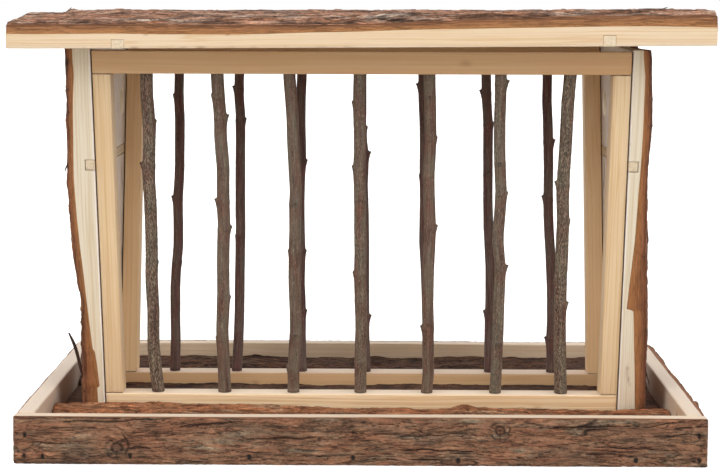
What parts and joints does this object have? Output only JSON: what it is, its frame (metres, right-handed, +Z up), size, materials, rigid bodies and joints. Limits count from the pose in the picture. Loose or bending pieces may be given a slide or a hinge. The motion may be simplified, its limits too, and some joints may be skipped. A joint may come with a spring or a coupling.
{
  "type": "hay rack feeder",
  "caption": "Free-standing bark-wood hay rack: V-shaped twig-barred cradle between side panels, shallow tray below, hinged bark-slab roof above.",
  "frame": {"origin": "on the floor, under the middle of the tray", "axes": "+Z up, +X to the right seen from the front, -Y towards the front"},
  "size_m": [0.381, 0.214, 0.248],
  "materials": {
    "slab_bark": "rough bark over pale sawn wood",
    "sawn_frame_wood": "sawn, unfinished, faint saw marks",
    "sawn_batten_wood": "sawn, unfinished",
    "front_twig_bark": "smooth young bark with buds",
    "rear_twig_bark": "smooth young bark, darker",
    "zinc_steel": "zinc-plated pressed steel",
    "dark_brad_steel": "dull dark steel wire"
  },
  "bodies": {
    "rack": {"tray_front_slat": "slab_bark", "tray_rear_slat": "slab_bark", "tray_left_slat": "slab_bark", "tray_right_slat": "slab_bark", "tray_right_front_slat": "slab_bark", "floor_front_slab": "slab_bark", "floor_middle_slab": "slab_bark", "floor_rear_slab": "slab_bark", "front_top_rail": "sawn_frame_wood", "front_bottom_rail": "sawn_frame_wood", "front_left_stile": "sawn_frame_wood", "front_right_stile": "sawn_frame_wood", "rear_top_rail": "sawn_frame_wood", "rear_bottom_rail": "sawn_frame_wood", "rear_left_stile": "sawn_frame_wood", "rear_right_stile": "sawn_frame_wood", "front_twig_1": "front_twig_bark", "front_twig_2": "front_twig_bark", "front_twig_3": "front_twig_bark", "front_twig_4": "front_twig_bark", "front_twig_5": "front_twig_bark", "front_twig_6": "front_twig_bark", "front_twig_7": "front_twig_bark", "rear_twig_1": "rear_twig_bark", "rear_twig_2": "rear_twig_bark", "rear_twig_3": "rear_twig_bark", "rear_twig_4": "rear_twig_bark", "rear_twig_5": "rear_twig_bark", "rear_twig_6": "rear_twig_bark", "rear_twig_7": "rear_twig_bark", "left_panel_front_slab": "slab_bark", "left_panel_middle_slab": "slab_bark", "left_panel_rear_slab": "slab_bark", "right_panel_front_slab": "slab_bark", "right_panel_middle_slab": "slab_bark", "right_panel_rear_slab": "slab_bark", "left_panel_batten": "sawn_batten_wood", "right_panel_batten": "sawn_batten_wood", "left_hinge_rail_leaf": "zinc_steel", "right_hinge_rail_leaf": "zinc_steel", "left_hinge_pin": "zinc_steel", "right_hinge_pin": "zinc_steel", "hinge_rail_screws": "zinc_steel", "tray_corner_brads": "dark_brad_steel", "floor_edge_brads": "dark_brad_steel", "frame_corner_brads": "dark_brad_steel", "frame_base_brads": "dark_brad_steel", "panel_side_brads": "dark_brad_steel", "panel_base_brads": "dark_brad_steel", "panel_batten_brads": "dark_brad_steel"},
    "roof": {"roof_front_slab": "slab_bark", "roof_middle_slab": "slab_bark", "roof_rear_slab": "slab_bark", "roof_left_batten": "sawn_batten_wood", "roof_right_batten": "sawn_batten_wood", "left_hinge_roof_leaf": "zinc_steel", "right_hinge_roof_leaf": "zinc_steel", "hinge_roof_screws": "zinc_steel", "roof_batten_brads": "dark_brad_steel"}
  },
  "joints": [
    {"name": "roof_hinge", "type": "hinge", "parent": "rack", "child": "roof", "pos_m": [0, 0.076, 0.2254], "axis": [-1, 0, 0], "range_deg": [0, 100]}
  ]
}
